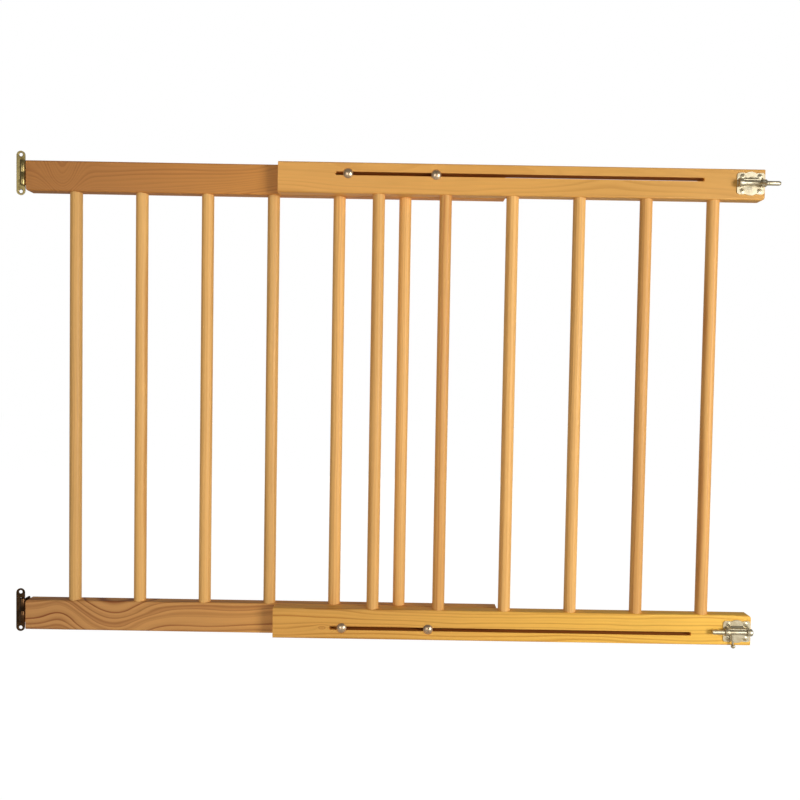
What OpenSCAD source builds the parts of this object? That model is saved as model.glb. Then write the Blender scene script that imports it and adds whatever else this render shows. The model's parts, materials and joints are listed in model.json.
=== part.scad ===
// Extending wooden safety gate: two ladder panels that overlap and slide along
// each other, two hinges at one end and two barrel bolts at the other.
// The origin is midway between the lower hinge's wall screws, on the wall's face.
// +X runs along the gate from the hinges to the bolts, +Y into the wall, +Z up.

/* [Panels] */
// Height of each panel, over its two rails
panel_h = 700; // [500:10:900]
// Length of each rail
rail_len = 708; // [700:1:800]
// Height of a rail's section
rail_h = 45; // [42:1:60]
// Thickness of a rail's section
rail_t = 20; // [20:1:30]
// Radius along a rail's long edges
edge_r = 2.5; // [1:0.5:4]
// Radius of a rail's inner corner at the panel's outer end
corner_r = 4.5; // [4:0.5:12]
// Gap between the two panels
panel_gap = 0.5; // [0.3:0.1:1]
// How far the front panel stands out past the rear one
extension = 375; // [200:5:385]

/* [Dowels] */
// Diameter of a dowel
dowel_d = 18; // [14:0.5:18]
// Distance between dowels, centre to centre
dowel_pitch = 98; // [80:1:105]
// Distance from the panel's outer end to the first dowel
dowel_first = 71; // [70:1:90]
// Depth of a dowel's blind hole in each rail
dowel_seat = 12; // [8:1:20]

/* [Slots] */
// Width of the slot in a front rail
slot_w = 5.2; // [5:0.1:7]
// Distance from the rail's outer long edge to the middle of the slot
slot_inset = 16.4; // [15:0.1:20]
// Distance from the rail's outer end to the slot
slot_outer = 89; // [80:1:100]
// Distance from the rail's inner end to the slot
slot_inner = 83; // [70:1:100]

/* [Clamps] */
// Distance from the rear rail's inner end to the nearer clamp bolt
clamp_near = 103; // [100:1:110]
// Distance between the two clamp bolts of one rail
clamp_pitch = 128; // [80:1:128]
// Diameter of a clamp bolt's thread
clamp_d = 5; // [4:0.5:5]
// Length of a clamp bolt under its head
clamp_len = 55; // [52:1:60]
// Diameter of a clamp bolt's domed head
head_d = 15; // [12:0.5:16]
// Height of a clamp bolt's domed head
head_h = 4; // [3:0.5:5]
// Side of the square neck under the head
neck_w = 4.8; // [4.2:0.1:4.8]
// Diameter of a clamp washer
washer_d = 15; // [12:1:18]
// Thickness of a clamp washer
washer_t = 1.2; // [1:0.2:2]

/* [Hinges] */
// Height of the lower hinge's middle above the panel's lower edge
hinge_low = 29; // [24:1:30]
// Depth of the upper hinge's middle below the panel's upper edge
hinge_high = 18.5; // [16:0.5:22]
// Length of the wall leaf
strip_len = 65; // [60:1:70]
// Width of the wall leaf
strip_w = 13; // [12:0.5:13]
// Thickness of the hinge's sheet
sheet_t = 1.5; // [1:0.1:1.5]
// Distance between the two wall screws of one hinge
wall_pitch = 54; // [50:1:56]
// Diameter of a wall screw's hole
wall_hole_d = 5.2; // [4:0.2:5.4]
// Outside diameter of the knuckles
knuckle_d = 8; // [7:0.5:8]
// Length of the two knuckles together
knuckle_len = 36; // [30:1:36]
// Diameter of the hinge pin
pin_d = 3; // [2.5:0.1:4]
// Reach of the gate leaf from the hinge's axis
leaf_reach = 17; // [14:1:18]
// Distance between the two screws of one gate leaf
leaf_pitch = 24; // [20:1:24]

/* [Barrel bolts] */
// Distance from the rail's outer long edge to the rod's axis
bolt_inset = 21.3; // [20:0.1:24]
// Length of the plate
plate_w = 40; // [38:1:44]
// Height of the plate
plate_h = 34; // [32:1:38]
// Thickness of the plate
plate_t = 1.2; // [1:0.1:1.5]
// Gap between the plate and the rail's end
plate_back = 1; // [0.5:0.5:3]
// Diameter of the rod
rod_d = 7; // [6:0.5:7]
// Length of the rod
rod_len = 60; // [60:1:64]
// Distance from the rail's face to the rod's axis
rod_out = 5; // [5:0.1:6]
// Diameter of the rod's free end, slimmer to enter the keeper easily
rod_end_d = 6.6; // [6:0.1:6.6]
// Length of the rod's free end
rod_end_len = 17; // [12:1:18]
// How far the rod slides
rod_travel = 19.2; // [18:0.2:19.2]
// How far the drawn-back rod stands out past the rail's end
rod_proud = 1; // [0:0.5:2]
// Distance from the rod's back end to its lever
lever_at = 29; // [28:0.5:29]
// Distance from the rod's axis to the middle of the lever's ball
lever_len = 21; // [16:1:24]
// Lean of the lever towards the rod's free end, in degrees
lever_lean = 7; // [0:1:8]
// Turn of the upper lever below level, in degrees
lever_drop = 14; // [0:1:30]
// Diameter of the lever's ball
ball_d = 6.2; // [5:0.2:6.2]

/* [Hidden] */
$fn = 64;

// Working gaps
slip = 0.05;        // a dowel or a screw in its hole, on the radius
play = 0.3;         // between pieces that pass each other
cut = 1;            // overrun of a cutting shape past the face it cuts
flush = 0.001;      // overrun where a cone has to keep its size at the face
dowel_count = 6;    // dowels in each panel

// Hinge geometry, measured from the middle of the wall leaf's back
knuckle_r = knuckle_d / 2;
pin_r = pin_d / 2;
axis_x = knuckle_r + play;
axis_y = -knuckle_r;
half_knuckle = knuckle_len / 2 - play / 2;
leaf_screw_y = axis_y + leaf_reach * 0.6;
leaf_r = 4;
wall_sink = 0.8;
pin_head_r = 2.3;
pin_head_h = 0.9;

// Panel places
bottom_z = -hinge_low;
top_z = bottom_z + panel_h;
upper_hinge_z = top_z - hinge_high;
rear_x = 2 * axis_x;
rear_y = axis_y;
rear_end_x = rear_x + rail_len;
front_x = rear_x + extension;
front_end_x = front_x + rail_len;
front_y = rear_y - panel_gap - rail_t;

// Wood screws: head radius, shank radius, length and height of the head's dome
hinge_screw = [3.4, 1.6, 30, 0];
bolt_screw = [3.7, 1.5, 14, 0.8];

// Clamp geometry, with the turn of each wing nut in degrees
clamp_hole_r = clamp_d / 2 + 0.25;
clamp_seat_y = front_y - play;
nut_seat_y = rear_y + rail_t + washer_t + play / 2;
nut_turns = [20, -35, 62, 8];

// Barrel bolt geometry, measured from the plate's middle on the rail's face
rod_r = rod_d / 2;
sleeve_r = 5.3;
sleeve_bore_r = rod_r + slip;
bolt_x = front_end_x - plate_back - plate_w / 2;
rail_end_x = plate_w / 2 + plate_back;
retracted_x = rail_end_x + rod_proud - rod_len;
plate_screw_x = 12.5;
plate_screw_z = 10.5;
loop_w = 6.5;
nose_w = 8.5;
upper_rod_x = retracted_x + rod_travel;
lower_rod_x = retracted_x;

// Rectangle with rounded corners, from the origin
module round_rect(w, h, r) {
    translate([r, 0]) square([w - 2 * r, h]);
    translate([0, r]) square([w, h - 2 * r]);
    for (x = [r, w - r], y = [r, h - r]) translate([x, y]) circle(r);
}

// Turns a shape drawn in X and Y, with its thickness in Z, to stand in X and Z
// with its thickness towards -Y
module stand() {
    rotate([90, 0, 0]) children();
}

// Cylinder along +X or +Y from the origin
module rod_x(r, h) {
    rotate([0, 90, 0]) cylinder(r = r, h = h);
}
module rod_y(r, h) {
    rotate([-90, 0, 0]) cylinder(r = r, h = h);
}

// Places a part of a panel. Its own outer end is at x = 0 and its own outer
// long edge at z = 0.
module in_rear_panel(top) {
    translate([rear_x, rear_y, top ? top_z : bottom_z]) mirror([0, 0, top ? 1 : 0]) children();
}
module in_front_panel(top) {
    translate([front_end_x, front_y, top ? top_z : bottom_z])
        mirror([1, 0, 0]) mirror([0, 0, top ? 1 : 0]) children();
}

// Side view of a rail, with its inner corner rounded at the outer end
module rail_side() {
    difference() {
        square([rail_len, rail_h]);
        translate([0, rail_h - corner_r]) difference() {
            translate([-cut, 0]) square([corner_r + cut, corner_r + cut]);
            translate([corner_r, 0]) circle(corner_r);
        }
    }
}

// Rail with its dowel holes
module plain_rail() {
    difference() {
        intersection() {
            rotate([90, 0, 90]) linear_extrude(rail_len) round_rect(rail_t, rail_h, edge_r);
            translate([0, rail_t, 0]) stand() linear_extrude(rail_t) rail_side();
        }
        for (i = [0 : dowel_count - 1])
            translate([dowel_first + i * dowel_pitch, rail_t / 2, rail_h - dowel_seat])
                cylinder(r = dowel_d / 2 + slip, h = dowel_seat + cut);
    }
}

// Rear rail: holes for the clamp bolts and for the hinge's screws.
// hinge_z is the height of the hinge's middle above the outer long edge.
module rear_rail(hinge_z) {
    difference() {
        plain_rail();
        for (x = [clamp_near, clamp_near + clamp_pitch])
            translate([rail_len - x, -cut, slot_inset]) rod_y(clamp_hole_r, rail_t + 2 * cut);
        for (z = [-0.5, 0.5])
            translate([-cut, leaf_screw_y - rear_y, hinge_z + z * leaf_pitch])
                rod_x(hinge_screw[1] + slip, hinge_screw[2] + cut);
    }
}

// Front rail: the long slot and holes for the barrel bolt's screws
module front_rail() {
    slot_r = slot_w / 2;
    difference() {
        plain_rail();
        translate([0, rail_t + cut, slot_inset]) stand() linear_extrude(rail_t + 2 * cut) {
            for (x = [slot_outer + slot_r, rail_len - slot_inner - slot_r])
                translate([x, 0]) circle(slot_r);
            translate([slot_outer + slot_r, -slot_r])
                square([rail_len - slot_outer - slot_inner - slot_w, slot_w]);
        }
        for (x = [-1, 1], z = [-1, 1])
            translate([plate_back + plate_w / 2 + x * plate_screw_x, -cut,
                       bolt_inset + z * plate_screw_z])
                rod_y(bolt_screw[1] + slip, bolt_screw[2] + cut);
    }
}

// One dowel, i from 0 at the panel's outer end
module dowel(i) {
    translate([dowel_first + i * dowel_pitch, rail_t / 2, rail_h - dowel_seat])
        cylinder(d = dowel_d, h = panel_h - 2 * (rail_h - dowel_seat));
}

// Radius of a screw's countersunk head at the depth t, and the radius of a
// sphere that rises by h over a circle of radius r
function under_r(spec, t) = max(spec[1], spec[0] - t);
function cap_r(r, h) = (r * r + h * h) / (2 * h);

// Countersunk screw along +X with its head's rim at x = 0: spec is one of the two
// kinds, and head_t is the sheet's thickness, which the head fills
module screw(spec, head_t) {
    recess_w = 0.9;
    recess_len = spec[0] * 1.24;
    tip = 4;
    dome = spec[3];
    difference() {
        union() {
            rotate([0, 90, 0]) cylinder(r1 = spec[0], r2 = under_r(spec, head_t), h = head_t);
            rod_x(spec[1], spec[2] - tip);
            translate([spec[2] - tip, 0, 0]) rotate([0, 90, 0])
                cylinder(r1 = spec[1], r2 = 0.3, h = tip);
            if (dome > 0) intersection() {
                translate([cap_r(spec[0], dome) - dome, 0, 0]) sphere(cap_r(spec[0], dome));
                translate([-dome, 0, 0]) rod_x(spec[0], dome);
            }
        }
        for (a = [0, 90])
            rotate([45 + a, 0, 0]) translate([-dome - cut, -recess_len / 2, -recess_w / 2])
                cube([dome + cut + head_t * 0.7, recess_len, recess_w]);
    }
}

// Wall leaf: a strip with a screw hole in each end and the lower knuckle
module wall_leaf() {
    strip_r = strip_w / 2;
    difference() {
        union() {
            stand() linear_extrude(sheet_t) {
                square([strip_w, strip_len - strip_w], center = true);
                for (z = [-1, 1]) translate([0, z * (strip_len - strip_w) / 2]) circle(strip_r);
            }
            translate([axis_x, axis_y, -knuckle_len / 2]) cylinder(r = knuckle_r, h = half_knuckle);
        }
        translate([0, -sheet_t - cut, -play / 2])
            cube([strip_w, sheet_t + 2 * cut, knuckle_len / 2 + play]);
        translate([axis_x, axis_y, -knuckle_len]) cylinder(r = pin_r + 0.02, h = 2 * knuckle_len);
        for (z = [-0.5, 0.5]) translate([0, 0, z * wall_pitch]) {
            translate([0, -sheet_t - cut, 0]) rod_y(wall_hole_d / 2, sheet_t + 2 * cut);
            translate([0, -sheet_t, 0]) rotate([-90, 0, 0])
                cylinder(r1 = wall_hole_d / 2 + wall_sink, r2 = wall_hole_d / 2, h = wall_sink);
        }
    }
}

// Gate leaf: a plate on the rail's end and the upper knuckle
module gate_leaf() {
    leaf_x = rear_x - sheet_t;
    head_r = hinge_screw[0] + slip;
    seat_r = under_r(hinge_screw, sheet_t) + slip;
    difference() {
        union() {
            translate([leaf_x, axis_y, -knuckle_len / 2]) rotate([90, 0, 90])
                linear_extrude(sheet_t) {
                    square([leaf_reach - leaf_r, knuckle_len]);
                    round_rect(leaf_reach, knuckle_len, leaf_r);
                }
            translate([axis_x, axis_y, play / 2]) cylinder(r = knuckle_r, h = half_knuckle);
        }
        translate([leaf_x - cut, axis_y - cut, -knuckle_len])
            cube([sheet_t + 2 * cut, knuckle_r + cut - 0.4, knuckle_len + play / 2]);
        translate([axis_x, axis_y, -knuckle_len]) cylinder(r = pin_r + 0.06, h = 2 * knuckle_len);
        for (z = [-0.5, 0.5]) translate([leaf_x, leaf_screw_y, z * leaf_pitch])
            rotate([0, 90, 0]) cylinder(r1 = head_r, r2 = seat_r, h = sheet_t + flush);
    }
}

// Pin through both knuckles, with a low head at each end
module hinge_pin() {
    head_z = knuckle_len / 2 + slip;
    translate([axis_x, axis_y, -head_z]) cylinder(r = pin_r, h = 2 * head_z);
    for (side = [-1, 1]) translate([axis_x, axis_y, side * head_z])
        rotate([side > 0 ? 0 : 180, 0, 0])
            cylinder(r1 = pin_head_r, r2 = pin_head_r * 0.7, h = pin_head_h);
}

// The two screws that hold a gate leaf to the rail's end
module hinge_screws() {
    for (z = [-0.5, 0.5])
        translate([rear_x - sheet_t, leaf_screw_y, z * leaf_pitch]) screw(hinge_screw, sheet_t);
}

// Clamp bolt along +Y: domed head, square neck and plain shank
module clamp_bolt() {
    dome_r = cap_r(head_d / 2, head_h);
    neck_len = 4;
    overlap = 0.5;
    chamfer = 1;
    intersection() {
        translate([0, dome_r - head_h, 0]) sphere(dome_r);
        translate([0, -head_h, 0]) rod_y(head_d / 2, head_h);
    }
    translate([-neck_w / 2, -overlap, -neck_w / 2])
        cube([neck_w, neck_len + overlap, neck_w]);
    rod_y(clamp_d / 2, clamp_len - chamfer);
    translate([0, clamp_len - chamfer, 0]) rotate([-90, 0, 0])
        cylinder(r1 = clamp_d / 2, r2 = clamp_d / 2 - 0.8 * chamfer, h = chamfer);
}

module washer() {
    difference() {
        rod_y(washer_d / 2, washer_t);
        translate([0, -cut, 0]) rod_y(clamp_d / 2 + 0.2, washer_t + 2 * cut);
    }
}

// Wing nut along +Y, with its seat at y = 0
module wing_nut() {
    hub_h = 6.5;
    hub_r = [5.4, 4.4];
    wing_t = 2.4;
    wing_r = 4;
    difference() {
        union() {
            rotate([-90, 0, 0]) cylinder(r1 = hub_r[0], r2 = hub_r[1], h = hub_h);
            for (side = [0, 1]) mirror([side, 0, 0])
                translate([0, 0, -wing_t / 2]) linear_extrude(wing_t) {
                    polygon([[3.4, 0.8], [8.2, 2], [12.3, 8], [6, 10.6], [3.4, hub_h]]);
                    translate([9.2, 8.8]) circle(wing_r);
                }
        }
        translate([0, -cut, 0]) rod_y(clamp_d / 2 + slip, hub_h + 2 * cut);
    }
}

// Place of clamp i: 0 and 1 in the top rail, 2 and 3 in the bottom rail
module at_clamp(i, y) {
    translate([rear_end_x - clamp_near - (i % 2) * clamp_pitch, y,
               i < 2 ? top_z - slot_inset : bottom_z + slot_inset]) children();
}

// Outline of a barrel bolt's plate: rounded corners, with a bow between two
// small notches in the middle of the upper and lower edges
module plate_outline() {
    ear_h = plate_h - 3;
    ear_r = 4;
    bow_r = 14;
    notch_r = 2;
    notch_x = 8.2;
    notch_out = 1.2;
    difference() {
        union() {
            translate([-plate_w / 2, -ear_h / 2]) round_rect(plate_w, ear_h, ear_r);
            for (z = [-1, 1]) translate([0, z * (plate_h / 2 - bow_r)]) circle(bow_r);
        }
        for (x = [-1, 1], z = [-1, 1])
            translate([x * notch_x, z * (ear_h / 2 + notch_out)]) circle(notch_r);
    }
}

// Housing of a barrel bolt, pressed from one sheet with its plate: a loop at the
// back, a sleeve at the front and a cover over the rod between them, with a round
// pocket for each screw's head
module bolt_housing() {
    half_w = plate_w / 2;
    loop_x = -half_w + 0.5;
    nose_x = half_w + plate_back - nose_w + 0.5;
    cone = 1.5;
    cover_bore_r = rod_r + 0.5;
    seat_r = under_r(bolt_screw, plate_t) + slip;
    pocket_r = bolt_screw[0] + 0.6;
    difference() {
        union() {
            stand() linear_extrude(plate_t) plate_outline();
            translate([loop_x, -rod_out, 0]) rod_x(sleeve_r, loop_w);
            translate([nose_x, -rod_out, 0]) rod_x(sleeve_r, nose_w - cone);
            translate([nose_x + nose_w - cone, -rod_out, 0]) rotate([0, 90, 0])
                cylinder(r1 = sleeve_r, r2 = sleeve_r - cone, h = cone);
            translate([loop_x + loop_w / 2, 0, 0]) rotate([90, 0, 90])
                linear_extrude(nose_x - loop_x)
                    polygon([[0, 0], [-rod_out - 1.4, 3.4], [-rod_out - 1.4, 5.2],
                             [-rod_out + 1, 6.4], [-plate_t, 8.8], [0, 8.8]]);
        }
        translate([-half_w - cut, -rod_out, 0]) rod_x(sleeve_bore_r, plate_w + nose_w);
        translate([loop_x + loop_w, -rod_out, 0])
            rod_x(cover_bore_r, nose_x - loop_x - loop_w);
        translate([-half_w - cut, 0, -sleeve_r - cut])
            cube([plate_w + nose_w, sleeve_r, 2 * (sleeve_r + cut)]);
        for (x = [-1, 1], z = [-1, 1]) translate([x * plate_screw_x, 0, z * plate_screw_z]) {
            rotate([90, 0, 0])
                cylinder(r1 = seat_r, r2 = bolt_screw[0] + slip, h = plate_t + flush);
            translate([0, -plate_t - 2 * rod_out, 0]) rod_y(pocket_r, 2 * rod_out);
        }
    }
}

// The four screws that hold a housing to the rail
module bolt_screws() {
    for (x = [-1, 1], z = [-1, 1])
        translate([x * plate_screw_x, -plate_t, z * plate_screw_z])
            rotate([0, 0, 90]) screw(bolt_screw, plate_t);
}

// Rod of a barrel bolt from its back end at x = 0, with a slimmer free end and a
// tapered tip
module bolt_rod() {
    taper = 2;
    end_r = rod_end_d / 2;
    rod_x(rod_r, rod_len - taper - rod_end_len);
    rod_x(end_r, rod_len - taper);
    translate([rod_len - taper, 0, 0]) rotate([0, 90, 0])
        cylinder(r1 = end_r, r2 = end_r - 1, h = taper);
}

// Lever of a barrel bolt from the rod's axis, pointing down: a tapered stem and
// a ball
module bolt_lever() {
    stem_r = [1.3, 1.9];
    difference() {
        rotate([0, -lever_lean, 0]) translate([0, 0, -lever_len]) {
            cylinder(r1 = stem_r[0], r2 = stem_r[1], h = lever_len);
            sphere(d = ball_d);
        }
        translate([-rod_r, 0, 0]) rod_x(rod_r + slip, 2 * rod_r);
    }
}

// Places a barrel bolt's part on the front panel's front face
module at_bolt(top) {
    translate([bolt_x, front_y, top ? top_z - bolt_inset : bottom_z + bolt_inset]) children();
}

module rear_top_rail() { color("peru") in_rear_panel(true) rear_rail(hinge_high); }
module rear_bottom_rail() { color("peru") in_rear_panel(false) rear_rail(hinge_low); }
module rear_dowel(i) { color("burlywood") in_rear_panel(false) dowel(i); }
module front_top_rail() { color("sandybrown") in_front_panel(true) front_rail(); }
module front_bottom_rail() { color("sandybrown") in_front_panel(false) front_rail(); }
module front_dowel(i) { color("burlywood") in_front_panel(false) dowel(i); }

module upper_hinge_wall_leaf() { color("goldenrod") translate([0, 0, upper_hinge_z]) wall_leaf(); }
module upper_hinge_gate_leaf() { color("goldenrod") translate([0, 0, upper_hinge_z]) gate_leaf(); }
module upper_hinge_pin() { color("darkgoldenrod") translate([0, 0, upper_hinge_z]) hinge_pin(); }
module upper_hinge_screws() { color("gold") translate([0, 0, upper_hinge_z]) hinge_screws(); }
module lower_hinge_wall_leaf() { color("goldenrod") wall_leaf(); }
module lower_hinge_gate_leaf() { color("goldenrod") gate_leaf(); }
module lower_hinge_pin() { color("darkgoldenrod") hinge_pin(); }
module lower_hinge_screws() { color("gold") hinge_screws(); }

module clamp_bolts() { color("silver") for (i = [0 : 3]) at_clamp(i, clamp_seat_y) clamp_bolt(); }
module clamp_washers() { color("silver") for (i = [0 : 3]) at_clamp(i, rear_y + rail_t) washer(); }
module nut(i) {
    color("gainsboro") at_clamp(i, nut_seat_y) rotate([0, nut_turns[i], 0]) wing_nut();
}

module upper_bolt_housing() { color("lightgray") at_bolt(true) bolt_housing(); }
module upper_bolt_screws() { color("gray") at_bolt(true) bolt_screws(); }
module upper_bolt_rod() {
    color("silver") at_bolt(true) translate([upper_rod_x, -rod_out, 0]) bolt_rod();
}
module upper_bolt_lever() {
    color("silver") at_bolt(true)
        translate([upper_rod_x + lever_at, -rod_out, 0])
            rotate([lever_drop - 90, 0, 0]) bolt_lever();
}
module lower_bolt_housing() { color("lightgray") at_bolt(false) bolt_housing(); }
module lower_bolt_screws() { color("gray") at_bolt(false) bolt_screws(); }
module lower_bolt_rod() {
    color("silver") at_bolt(false) translate([lower_rod_x, -rod_out, 0]) bolt_rod();
}
module lower_bolt_lever() {
    color("silver") at_bolt(false) translate([lower_rod_x + lever_at, -rod_out, 0]) bolt_lever();
}

rear_top_rail();
rear_bottom_rail();
rear_dowel(0);  // rear_dowel_1
rear_dowel(1);  // rear_dowel_2
rear_dowel(2);  // rear_dowel_3
rear_dowel(3);  // rear_dowel_4
rear_dowel(4);  // rear_dowel_5
rear_dowel(5);  // rear_dowel_6
front_top_rail();
front_bottom_rail();
front_dowel(0);  // front_dowel_1
front_dowel(1);  // front_dowel_2
front_dowel(2);  // front_dowel_3
front_dowel(3);  // front_dowel_4
front_dowel(4);  // front_dowel_5
front_dowel(5);  // front_dowel_6
upper_hinge_wall_leaf();
upper_hinge_gate_leaf();
upper_hinge_pin();
upper_hinge_screws();
lower_hinge_wall_leaf();
lower_hinge_gate_leaf();
lower_hinge_pin();
lower_hinge_screws();
clamp_bolts();
clamp_washers();
nut(0);  // wing_nut_1
nut(1);  // wing_nut_2
nut(2);  // wing_nut_3
nut(3);  // wing_nut_4
upper_bolt_housing();
upper_bolt_screws();
upper_bolt_rod();
upper_bolt_lever();
lower_bolt_housing();
lower_bolt_screws();
lower_bolt_rod();
lower_bolt_lever();
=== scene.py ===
import json
import math

import bpy
from mathutils import Euler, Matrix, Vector


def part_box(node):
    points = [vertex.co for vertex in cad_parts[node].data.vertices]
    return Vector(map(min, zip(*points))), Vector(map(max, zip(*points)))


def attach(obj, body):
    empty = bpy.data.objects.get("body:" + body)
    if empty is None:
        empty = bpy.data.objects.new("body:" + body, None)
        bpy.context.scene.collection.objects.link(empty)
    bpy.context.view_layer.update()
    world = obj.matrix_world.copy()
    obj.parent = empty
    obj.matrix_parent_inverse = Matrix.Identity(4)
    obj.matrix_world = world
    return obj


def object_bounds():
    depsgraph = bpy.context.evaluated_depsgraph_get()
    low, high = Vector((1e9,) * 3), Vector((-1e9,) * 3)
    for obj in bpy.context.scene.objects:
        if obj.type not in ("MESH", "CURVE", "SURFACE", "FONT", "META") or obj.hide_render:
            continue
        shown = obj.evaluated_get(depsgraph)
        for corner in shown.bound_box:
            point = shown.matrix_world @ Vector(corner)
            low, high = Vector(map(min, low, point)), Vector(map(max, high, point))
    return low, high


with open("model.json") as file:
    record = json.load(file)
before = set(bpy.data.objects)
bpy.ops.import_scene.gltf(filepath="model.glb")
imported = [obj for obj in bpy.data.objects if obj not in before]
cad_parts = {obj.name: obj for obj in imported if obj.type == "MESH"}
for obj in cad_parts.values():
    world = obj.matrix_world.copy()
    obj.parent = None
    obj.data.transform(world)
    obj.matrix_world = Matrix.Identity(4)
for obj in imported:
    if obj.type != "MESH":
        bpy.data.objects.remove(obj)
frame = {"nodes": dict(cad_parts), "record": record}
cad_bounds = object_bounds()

MM = 0.001
nodes = frame["nodes"]


def srgb(red, green, blue):
    """Linear colour from 0-255 display values."""
    channels = [value / 255 for value in (red, green, blue)]
    linear = [c / 12.92 if c <= 0.04045 else ((c + 0.055) / 1.055) ** 2.4 for c in channels]
    return (*linear, 1.0)


class Graph:
    """Short ways to build one material's nodes."""

    def __init__(self, name):
        self.material = bpy.data.materials.new(name)
        self.material.use_nodes = True
        self.tree = self.material.node_tree
        self.shader = self.tree.nodes["Principled BSDF"]
        self.coordinates = self.tree.nodes.new("ShaderNodeTexCoord")

    def put(self, socket, value):
        """Links another node's output to a socket, or sets its value."""
        if isinstance(value, bpy.types.NodeSocket):
            self.tree.links.new(value, socket)
        else:
            socket.default_value = value

    def math(self, operation, first, second=0.0):
        node = self.tree.nodes.new("ShaderNodeMath")
        node.operation = operation
        for socket, value in zip(node.inputs, (first, second)):
            self.put(socket, value)
        return node.outputs[0]

    def total(self, *values):
        """Sum of two or more values."""
        result = values[0]
        for value in values[1:]:
            result = self.math("ADD", result, value)
        return result

    def split(self, vector):
        node = self.tree.nodes.new("ShaderNodeSeparateXYZ")
        self.put(node.inputs[0], vector)
        return node.outputs

    def join(self, x, y, z):
        node = self.tree.nodes.new("ShaderNodeCombineXYZ")
        for socket, value in zip(node.inputs, (x, y, z)):
            self.put(socket, value)
        return node.outputs[0]

    def place(self, vector, location=(0, 0, 0), scale=(1, 1, 1)):
        """Coordinates scaled first and then moved."""
        node = self.tree.nodes.new("ShaderNodeMapping")
        self.put(node.inputs["Vector"], vector)
        node.inputs["Location"].default_value = location
        node.inputs["Scale"].default_value = scale
        return node.outputs[0]

    def noise(self, vector, scale=1.0, detail=2.0, roughness=0.5):
        node = self.tree.nodes.new("ShaderNodeTexNoise")
        self.put(node.inputs["Vector"], vector)
        node.inputs["Scale"].default_value = scale
        node.inputs["Detail"].default_value = detail
        node.inputs["Roughness"].default_value = roughness
        return node.outputs["Fac"]

    def span(self, value, low, high, to_low=0.0, to_high=1.0):
        """Soft step of a value from one range to another."""
        node = self.tree.nodes.new("ShaderNodeMapRange")
        node.interpolation_type = "SMOOTHSTEP"
        for socket, number in zip(node.inputs, (value, low, high, to_low, to_high)):
            self.put(socket, number)
        return node.outputs[0]

    def blend(self, factor, first, second, kind="MIX"):
        node = self.tree.nodes.new("ShaderNodeMix")
        node.data_type = "RGBA"
        node.blend_type = kind
        self.put(node.inputs[0], factor)
        self.put(node.inputs[6], first)
        self.put(node.inputs[7], second)
        return node.outputs[2]

    def bump(self, height, strength, distance):
        node = self.tree.nodes.new("ShaderNodeBump")
        node.inputs["Strength"].default_value = strength
        node.inputs["Distance"].default_value = distance
        self.put(node.inputs["Height"], height)
        self.put(self.shader.inputs["Normal"], node.outputs[0])

    def set(self, **values):
        """Sets the shader's inputs by name, with _ for a space."""
        for name, value in values.items():
            self.put(self.shader.inputs[name.replace("_", " ")], value)


def give(node, material):
    """Puts one material on a CAD node."""
    node.data.materials.clear()
    node.data.materials.append(material)


# ---------------------------------------------------------------- wood

END_GRAIN = srgb(176, 112, 52)
# Painted shade for the slots' walls: a dark brown where shade falls inside the narrow slots
SLOT_SHADE = srgb(184, 102, 10)
KNOT_COLOUR = srgb(168, 88, 30)
# Noise scales per metre: along the grain, then twice across it
DRIFT_SCALE = (3.2, 14, 14)
RIPPLE_SCALE = (9, 60, 60)
FIBRE_SCALE = (14, 900, 900)
CLOUD_SCALE = (5, 22, 22)
# How fast the rings' width and darkness vary from the pith outward, per metre
WIDTH_SCALE = 70.0
DARKNESS_SCALE = 190.0
# Share of one ring taken by its slow darkening and its sharp end
DARKENING = (0.30, 0.86)
SHARP_END = (0.90, 1.0)


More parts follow.
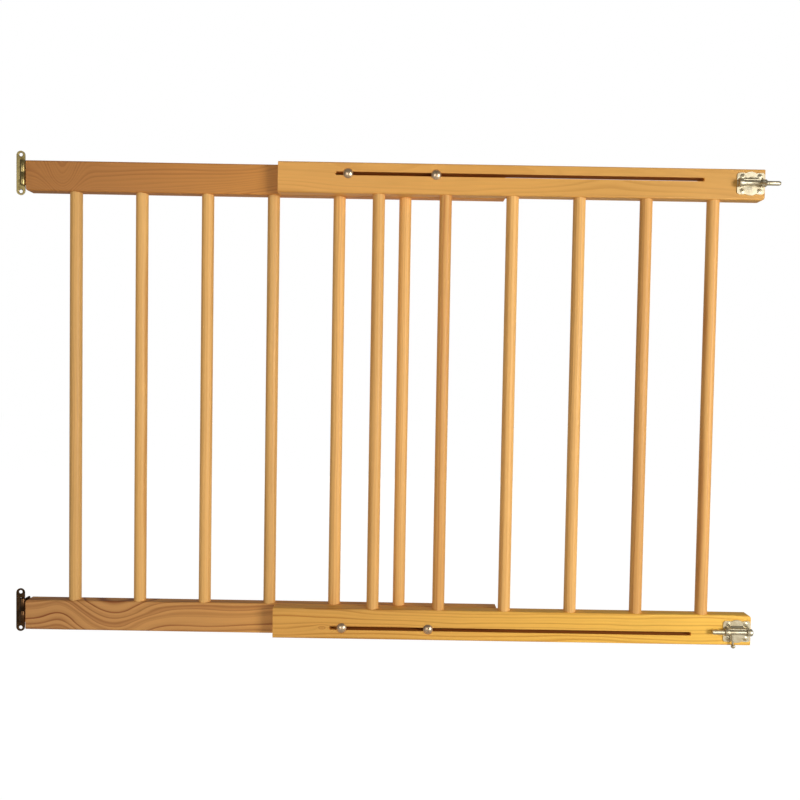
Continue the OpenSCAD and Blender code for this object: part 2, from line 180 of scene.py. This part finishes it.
def pine(name, node, along, early, late, ring, pith, sway, contrast,
         swirls=(), knots=(), slot=None, ends=((1, 1, 1), (1, 1, 1))):
    """Lacquered pine cut from a log: growth rings round a pith, wavy along the grain.

    along is the grain's axis. early and late are the colours of a ring's two halves.
    ring is the rings' spacing and sway how far they wander, in mm. pith is the pith's
    place across the grain from the piece's middle, in mm. swirls are bulges of the
    rings: place along, width and depth in mm. knots are: place along, place across and
    radius in mm. slot is the slot's box, whose walls get painted shade: a dark brown
    over them, and they are matt. ends are linear tints from the low end to the high one:
    partly the wood's own drift in tone, partly painted light and shade along the piece.
    """
    g = Graph(name)
    low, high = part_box(node)
    middle = (low + high) / 2
    local = g.place(g.coordinates.outputs["Object"], location=tuple(-middle))
    x, y, z = g.split(local)
    u, v, w = (x, z, y) if along == "X" else (z, x, y)
    # Each piece is cut from another stretch of the log, found from its name
    wander = 1.7 * (sum(map(ord, name)) % 97)
    grain = g.join(g.math("ADD", u, wander), v, w)

    slow = g.noise(g.place(grain, scale=DRIFT_SCALE))
    quick = g.noise(g.place(grain, scale=RIPPLE_SCALE), detail=1.0)
    drift = g.math("MULTIPLY", g.math("SUBTRACT", slow, 0.5), 2 * sway * MM)
    ripple = g.math("MULTIPLY", g.math("SUBTRACT", quick, 0.5), 0.35 * ring * MM)
    across = g.math("POWER", g.math("SUBTRACT", v, pith[0] * MM), 2.0)
    depth = g.math("POWER", g.math("SUBTRACT", w, pith[1] * MM), 2.0)
    radius = g.math("SQRT", g.math("ADD", across, depth))
    level = g.total(radius, drift, ripple)
    for place, width, rise in swirls:
        offset = g.math("DIVIDE", g.math("SUBTRACT", u, place * MM), width * MM)
        bell = g.math("EXPONENT", g.math("MULTIPLY", g.math("POWER", offset, 2.0), -1.0))
        level = g.math("ADD", level, g.math("MULTIPLY", bell, rise * MM))
    tint = None
    for place, height, size in knots:
        du = g.math("DIVIDE", g.math("SUBTRACT", u, place * MM), 2.2 * size * MM)
        dv = g.math("DIVIDE", g.math("SUBTRACT", v, height * MM), size * MM)
        far = g.math("SQRT", g.math("ADD", g.math("POWER", du, 2.0), g.math("POWER", dv, 2.0)))
        pull = g.math("EXPONENT", g.math("MULTIPLY", g.math("POWER", far, 2.0), -0.4))
        level = g.math("ADD", level, g.math("MULTIPLY", pull, 1.6 * size * MM))
        rim = g.span(g.math("ABSOLUTE", g.math("SUBTRACT", far, 0.8)), 0.0, 0.3, 0.55, 0.0)
        core = g.span(far, 0.2, 1.0, 0.35, 0.0)
        tint = g.math("MAXIMUM", rim, core)

    beat = g.noise(g.join(g.math("MULTIPLY", level, WIDTH_SCALE), wander, 0.0))
    vigour = g.noise(g.join(g.math("MULTIPLY", level, DARKNESS_SCALE), wander, 5.0), detail=0.0)
    count = g.math("ADD", g.math("DIVIDE", level, ring * MM), g.math("MULTIPLY", beat, 2.6))
    phase = g.math("FRACT", count)
    rise_edge = g.span(phase, *DARKENING)
    fall_edge = g.span(phase, *SHARP_END, 1.0, 0.0)
    latewood = g.math("MULTIPLY", rise_edge, fall_edge)
    patch = g.span(slow, 0.3, 0.7, 0.55, 1.0)
    strength = g.math("MULTIPLY", g.span(vigour, 0.3, 0.65, 0.25, 1.0), contrast)
    latewood = g.math("MULTIPLY", latewood, g.math("MULTIPLY", patch, strength))

    fibre = g.noise(g.place(grain, scale=FIBRE_SCALE), detail=3.0, roughness=0.65)
    cloud = g.noise(g.place(grain, scale=CLOUD_SCALE), detail=3.0)
    colour = g.blend(latewood, early, late)
    shade = g.total(0.78, g.math("MULTIPLY", fibre, 0.22), g.math("MULTIPLY", cloud, 0.22))
    colour = g.blend(1.0, colour, g.join(shade, shade, shade), "MULTIPLY")
    # The colour drifts between the ends tints along the piece: partly the wood's own tone, partly
    # painted light and shade that falls off along the piece
    reach = (high - low)["XYZ".index(along)] / 2
    place_along = g.span(g.math("ADD", u, g.math("MULTIPLY", drift, 4.0)), -reach, reach)
    tints = [(*tint_at, 1) for tint_at in ends]
    colour = g.blend(1.0, colour, g.blend(place_along, *tints), "MULTIPLY")
    if tint:
        colour = g.blend(tint, colour, KNOT_COLOUR)

    facing = g.split(g.coordinates.outputs["Normal"])["XZ".index(along) * 2]
    end_face = g.span(g.math("ABSOLUTE", facing), 0.8, 0.97, 0.0, 0.6)
    colour = g.blend(end_face, colour, g.blend(latewood, END_GRAIN, late))
    if slot:
        slot_low, slot_high = slot
        centre = (slot_low + slot_high) / 2 - middle
        rim = 0.12 * MM
        near_z = g.math("LESS_THAN", g.math("ABSOLUTE", g.math("SUBTRACT", z, centre.z)),
                        (slot_high.z - slot_low.z) / 2 + rim)
        near_x = g.math("LESS_THAN", g.math("ABSOLUTE", g.math("SUBTRACT", x, centre.x)),
                        (slot_high.x - slot_low.x) / 2 + rim)
        # The slots' walls take the dark brown at 90%: painted shade inside the slots
        slot_shade_mask = g.math("MULTIPLY", g.math("MULTIPLY", near_x, near_z), 0.9)
        colour = g.blend(slot_shade_mask, colour, SLOT_SHADE)

    rough = g.total(0.40, g.math("MULTIPLY", fibre, 0.16), g.math("MULTIPLY", latewood, -0.08))
    rough = g.math("ADD", rough, g.math("MULTIPLY", end_face, 0.3))
    if slot:
        rough = g.math("MAXIMUM", rough, slot_shade_mask)
    g.set(Base_Color=colour, Roughness=rough, Specular_IOR_Level=0.35)
    relief = g.math("SUBTRACT", g.math("MULTIPLY", latewood, 0.6), g.math("MULTIPLY", fibre, 0.5))
    g.bump(relief, 0.35, 0.15 * MM)
    return g.material


FRONT_SLOT_W = 5.2 * MM
# The stated openings stop short of the slot's ends by this much
SLOT_MARGIN = 5 * MM


def slot_box(rail, openings):
    """The slot's box in a front rail, from the record's slot openings."""
    boxes = [o["box_m"] for o in frame["record"]["physics"]["openings"] if openings in o["name"]]
    low_z = sum(b[0][2] + b[1][2] for b in boxes) / (2 * len(boxes)) - FRONT_SLOT_W / 2
    low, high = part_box(rail)
    low_x = min(b[0][0] for b in boxes) - SLOT_MARGIN
    high_x = max(b[1][0] for b in boxes) + SLOT_MARGIN
    return Vector((low_x, low.y, low_z)), Vector((high_x, high.y, low_z + FRONT_SLOT_W))


# Arguments of pine for each rail, matched to the photographed boards
# Each rail's ends tints hold painted light and shade along the rail as well as the wood's own
# drift in tone
RAILS = {
    "rear_top_rail": dict(
        early=srgb(192, 128, 64), late=srgb(158, 92, 38), ring=2.8, pith=(38, 52), sway=14,
        contrast=0.65, swirls=[(-300, 24, -20), (60, 90, 12)],
        ends=((0.98, 0.97, 0.94), (1.64, 1.68, 1.24))),
    "rear_bottom_rail": dict(
        early=srgb(206, 150, 86), late=srgb(138, 72, 26), ring=9.5, pith=(78, 20), sway=16,
        contrast=1.05, swirls=[(-222, 52, -26), (-300, 26, 9)],
        ends=((1.04, 1.0, 1.0), (1.46, 1.42, 1.05))),
    "front_top_rail": dict(
        early=srgb(230, 168, 86), late=srgb(206, 140, 62), ring=3.2, pith=(26, 70), sway=12,
        contrast=0.5, ends=((1.06, 1.06, 1.06), (0.86, 0.88, 0.78))),
    "front_bottom_rail": dict(
        early=srgb(232, 172, 82), late=srgb(190, 122, 44), ring=5.4, pith=(60, -30), sway=16,
        contrast=0.95, knots=[(-281, -6, 2.6)], ends=((1.0, 0.99, 1.0), (1.26, 1.42, 1.0))),
}
for name, look in RAILS.items():
    slot = None
    if name.startswith("front"):
        slot = slot_box(name, "upper_slot" if "top" in name else "lower_slot")
    give(nodes[name], pine(name + "_pine", name, "X", slot=slot, **look))

# Brightness of each dowel, from left to right, and how reddish and streaky it is, 0 to 1
DOWEL_TONES = {
    "rear": [0.96, 1.01, 1.02, 0.98, 1.03, 1.02], "front": [1.0, 0.96, 1.02, 1.03, 0.97, 0.99]}
DOWEL_WARMTH = {"rear": [0, 0, 0, 0, 0, 0], "front": [0.6, 1, 0, 0, 1, 0.2]}
for panel, tones in DOWEL_TONES.items():
    for index, (tone, warmth) in enumerate(zip(tones, DOWEL_WARMTH[panel]), 1):
        name = f"{panel}_dowel_{index}"
        early = srgb(240 * tone, (184 - 6 * warmth) * tone, (106 - 8 * warmth) * tone)
        late = srgb(204 * tone, (138 - 14 * warmth) * tone, (66 - 10 * warmth) * tone)
        side = 28 if index % 2 else -34
        material = pine(name + "_pine", name, "Z", early, late, ring=3.6 + 0.5 * (index % 3),
                        pith=(side, 20 - 9 * index), sway=6, contrast=0.6 + 0.35 * warmth)
        give(nodes[name], material)


# ---------------------------------------------------------------- metal

PATCH_SCALE = 90.0
SCRATCH_SCALE = 900.0


def metal(name, base, worn, rough, blotch, brushed=(1, 1, 1), relief=0.05):
    """Plated or bare metal: base and worn colours in soft patches, with fine scratches."""
    g = Graph(name)
    where = g.coordinates.outputs["Object"]
    patches = g.noise(where, PATCH_SCALE)
    scratches = g.noise(g.place(where, scale=brushed), SCRATCH_SCALE, detail=3.0, roughness=0.7)
    share = g.span(g.math("ADD", patches, g.math("MULTIPLY", scratches, 0.1)),
                   0.45, 0.8, 0.0, blotch)
    colour = g.blend(share, base, worn)
    roughness = g.total(rough - 0.08, g.math("MULTIPLY", scratches, 0.16),
                        g.math("MULTIPLY", share, 0.1))
    g.set(Base_Color=colour, Roughness=roughness, Metallic=1.0)
    g.bump(scratches, relief, 0.05 * MM)
    return g.material


nickel = metal("nickel_plate", srgb(212, 201, 172), srgb(176, 160, 126), 0.42, 0.7, (0.15, 1, 1))
head_nickel = metal("warm_nickel", srgb(236, 208, 172), srgb(182, 152, 116), 0.30, 0.7)
zinc = metal("zinc_plate", srgb(196, 198, 200), srgb(150, 152, 152), 0.38, 0.7)
brass = metal("polished_brass", srgb(180, 160, 106), srgb(106, 88, 48), 0.28, 0.8, relief=0.01)
# The lower hinge gets a darker copy of the same brass, with near-black patches: painted shade and
# painted dark reflection
painted_shade_brass = metal("aged_brass", srgb(92, 66, 42), srgb(38, 27, 18), 0.32, 0.95, relief=0.02)

for name in nodes:
    if name.startswith("upper_hinge"):
        give(nodes[name], brass)
    elif name.startswith("lower_hinge"):
        give(nodes[name], painted_shade_brass)
    elif "_bolt_" in name:
        give(nodes[name], nickel)
    elif name == "clamp_bolts":
        give(nodes[name], head_nickel)
    elif name.startswith("wing_nut") or name == "clamp_washers":
        give(nodes[name], zinc)


# ---------------------------------------------------------------- edges

# Degrees
EDGE_ANGLE = 40
# Widths in mm. The slots' edges stay sharp, so that little light shows through the slots.
REAR_RAIL_EDGE = 0.5
FRONT_RAIL_EDGE = 0.15
METAL_EDGE = 0.2


def soften(name, width):
    """Small rounding, width in mm, along a node's edges sharper than EDGE_ANGLE degrees."""
    node = nodes[name]
    weld = node.modifiers.new("weld", "WELD")
    weld.merge_threshold = 0.01 * MM
    bevel = node.modifiers.new("bevel", "BEVEL")
    bevel.width = width * MM
    bevel.segments = 2
    bevel.angle_limit = math.radians(EDGE_ANGLE)
    bevel.harden_normals = True


for name in RAILS:
    soften(name, FRONT_RAIL_EDGE if name.startswith("front") else REAR_RAIL_EDGE)
for name in nodes:
    if "hinge" in name or "_bolt_housing" in name or name.startswith("wing_nut"):
        soften(name, METAL_EDGE)


# ---------------------------------------------------------------- threads

# Millimetres
THREAD_PITCH = 0.8
THREAD_FLANK = 0.42 * THREAD_PITCH
THREAD_ROOT_R = 2.42
THREAD_CREST_R = 2.68
# From a wing nut's lowest face to its hub's end, then to the thread's start
NUT_HUB = 6.5
HUB_GAP = 0.6
# Plain end of the bolt past the thread
PLAIN_END = 1.2
THREAD_STEPS = 24


def thread(name, centre, start, end):
    """Screw thread along +Y round a bolt's end, from start to end in mm: a wound ridge."""
    turns = (end - start) / THREAD_PITCH
    count = int(turns * THREAD_STEPS)
    vertices = []
    for step in range(count + 1):
        angle = 2 * math.pi * step / THREAD_STEPS
        y = start + THREAD_PITCH * step / THREAD_STEPS
        fade = min(1.0, step / THREAD_STEPS, (count - step) / THREAD_STEPS)
        top = THREAD_ROOT_R + (THREAD_CREST_R - THREAD_ROOT_R) * fade
        profile = ((THREAD_ROOT_R, -THREAD_FLANK), (top, 0.0), (THREAD_ROOT_R, THREAD_FLANK))
        for radius, shift in profile:
            vertices.append((radius * math.cos(angle), y + shift, radius * math.sin(angle)))
    faces = [(0, 1, 2), (3 * count + 2, 3 * count + 1, 3 * count)]
    for step in range(count):
        for side in range(3):
            first = 3 * step + side
            second = 3 * step + (side + 1) % 3
            faces.append((first, first + 3, second + 3, second))
    mesh = bpy.data.meshes.new(name)
    mesh.from_pydata([Vector(v) * MM for v in vertices], [], faces)
    mesh.materials.append(head_nickel)
    piece = bpy.data.objects.new(name, mesh)
    piece.location = centre
    bpy.context.scene.collection.objects.link(piece)
    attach(piece, "rear_panel")


# ---------------------------------------------------------------- studio

FLOOR_SIZE = 12.0
FLOOR_GAP = 0.06
# The floor's colour to the lamps' light and to the camera, and its glow to the camera only
FLOOR_LIT = (0.92, 0.92, 0.91, 1)
FLOOR_SEEN = (0.12, 0.12, 0.12, 1)
FLOOR_GLOW = 0.97
# Camera, fitted to the gate's edges: place from the gate's middle, and turns in degrees
CAMERA_RIGHT, CAMERA_Y, CAMERA_UP = 0.011, -1.18, 0.040
YAW, PITCH, ROLL = -0.14, -1.96, -0.98
LENS, SENSOR = 35.5, 36.0


def area_light(name, position, target, size, power):
    """Rectangular lamp that faces a target: size in metres, power in watts."""
    light = bpy.data.lights.new(name, "AREA")
    light.shape = "RECTANGLE"
    light.size, light.size_y = size
    light.energy = power
    lamp = bpy.data.objects.new(name, light)
    lamp.location = position
    lamp.rotation_euler = (Vector(target) - Vector(position)).to_track_quat("-Z", "Y").to_euler()
    bpy.context.scene.collection.objects.link(lamp)
    return lamp


def sky(name, seen, lit):
    """Even white world: seen is its brightness to the camera, lit what it lights with."""
    world = bpy.data.worlds.new(name)
    world.use_nodes = True
    tree = world.node_tree
    output = tree.nodes["World Output"]
    lighting = tree.nodes["Background"]
    lighting.inputs["Color"].default_value = (1, 1, 1, 1)
    lighting.inputs["Strength"].default_value = lit
    backdrop = tree.nodes.new("ShaderNodeBackground")
    backdrop.inputs["Color"].default_value = (1, 1, 1, 1)
    backdrop.inputs["Strength"].default_value = seen
    paths = tree.nodes.new("ShaderNodeLightPath")
    mix = tree.nodes.new("ShaderNodeMixShader")
    tree.links.new(paths.outputs["Is Camera Ray"], mix.inputs[0])
    tree.links.new(lighting.outputs[0], mix.inputs[1])
    tree.links.new(backdrop.outputs[0], mix.inputs[2])
    tree.links.new(mix.outputs[0], output.inputs[0])
    bpy.context.scene.world = world


def pale_floor(height, middle):
    """Plain pale floor under the gate. It glows evenly white to the camera, so that neither
    shadows nor the lamps' patches of light show on it."""
    half = FLOOR_SIZE / 2
    mesh = bpy.data.meshes.new("floor")
    corners = [(-half, -half, 0), (half, -half, 0), (half, half, 0), (-half, half, 0)]
    mesh.from_pydata(corners, [], [(0, 1, 2, 3)])
    floor = bpy.data.objects.new("floor", mesh)
    floor.location = (middle.x, middle.y, height)
    bpy.context.scene.collection.objects.link(floor)
    g = Graph("pale_floor")
    paths = g.tree.nodes.new("ShaderNodeLightPath")
    seen = paths.outputs["Is Camera Ray"]
    colour = g.blend(seen, FLOOR_LIT, FLOOR_SEEN)
    g.set(Base_Color=colour, Roughness=0.9, Specular_IOR_Level=0.1)
    g.set(Emission_Color=(1, 1, 1, 1), Emission_Strength=g.math("MULTIPLY", seen, FLOOR_GLOW))
    mesh.materials.append(g.material)


bolts_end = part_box("clamp_bolts")[1].y
for index in range(1, 5):
    nut_low, nut_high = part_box(f"wing_nut_{index}")
    axis = (nut_low + nut_high) / 2
    axis.y = 0.0
    hub_end = nut_low.y / MM + NUT_HUB
    thread(f"clamp_thread_{index}", axis, hub_end + HUB_GAP, bolts_end / MM - PLAIN_END)

low, high = cad_bounds
middle = (low + high) / 2
pale_floor(low.z - FLOOR_GAP, middle)
sky("studio_white", seen=1.0, lit=0.2)
area_light("key", middle + Vector((1.9, -1.8, -0.05)), middle, (0.9, 1.4), 52)
area_light("fill", middle + Vector((-0.9, -2.3, 0.1)), middle, (1.4, 1.4), 13.5)
back = area_light("back", middle + Vector((0.3, 2.2, 0.1)), middle, (1.8, 1.0), 12)
back.visible_glossy = False

camera_data = bpy.data.cameras.new("camera")
camera_data.type = "PERSP"
camera_data.sensor_width = SENSOR
camera_data.lens = LENS
camera = bpy.data.objects.new("camera", camera_data)
camera.location = (middle.x + CAMERA_RIGHT, CAMERA_Y, middle.z + CAMERA_UP)
turn = Euler((math.radians(PITCH), math.radians(ROLL), math.radians(YAW)), "YXZ").to_matrix()
level_view = Euler((math.radians(90), 0, 0)).to_matrix()
camera.rotation_euler = (turn @ level_view).to_euler()
bpy.context.scene.collection.objects.link(camera)
bpy.context.scene.camera = camera
bpy.context.scene.view_settings.view_transform = "Standard"
